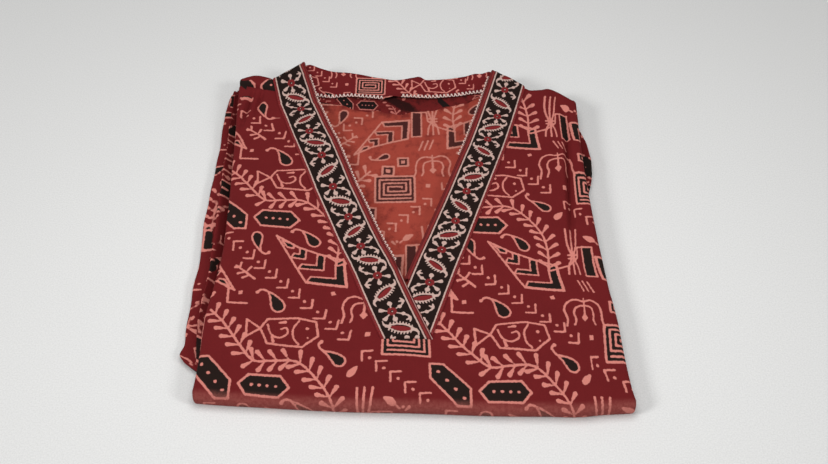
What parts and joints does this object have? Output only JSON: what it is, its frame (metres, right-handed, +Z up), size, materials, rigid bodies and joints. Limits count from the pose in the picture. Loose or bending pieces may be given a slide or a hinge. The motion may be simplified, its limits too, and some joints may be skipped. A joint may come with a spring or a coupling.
{
  "type": "folded kurta tunic",
  "caption": "Folded cotton kurta lying flat and face up: V neck with printed border tape and binding, back neck facing, doubled sleeves tucked under the sides",
  "frame": {"origin": "centre of the bounding box, on the surface it lies on", "axes": "+X runs across the garment to the right as it is seen face up, +Y runs along it from the near fold to the neck and shoulders, +Z is up, away from the surface"},
  "size_m": [0.3137, 0.3446, 0.0226],
  "materials": {
    "printed_cotton": "maroon dyed cotton cambric, pink and black hand-block print, matte plain weave",
    "printed_cotton_reverse": "wrong side of the printed cotton, lighter orange red with the print showing softly through",
    "border_cotton": "black printed cotton border tape with a floral vine in white and maroon, matte",
    "binding_cotton": "maroon cotton binding with a fine dotted edge, matte"
  },
  "bodies": {
    "root": {"front_panel": "printed_cotton", "back_panel": "printed_cotton_reverse", "back_neck_facing": "printed_cotton", "neck_border_left": "border_cotton", "neck_border_right": "border_cotton", "neck_binding_left": "binding_cotton", "neck_binding_right": "binding_cotton", "sleeve_left": "printed_cotton", "sleeve_right": "printed_cotton", "folded_layers": "printed_cotton"}
  },
  "joints": []
}
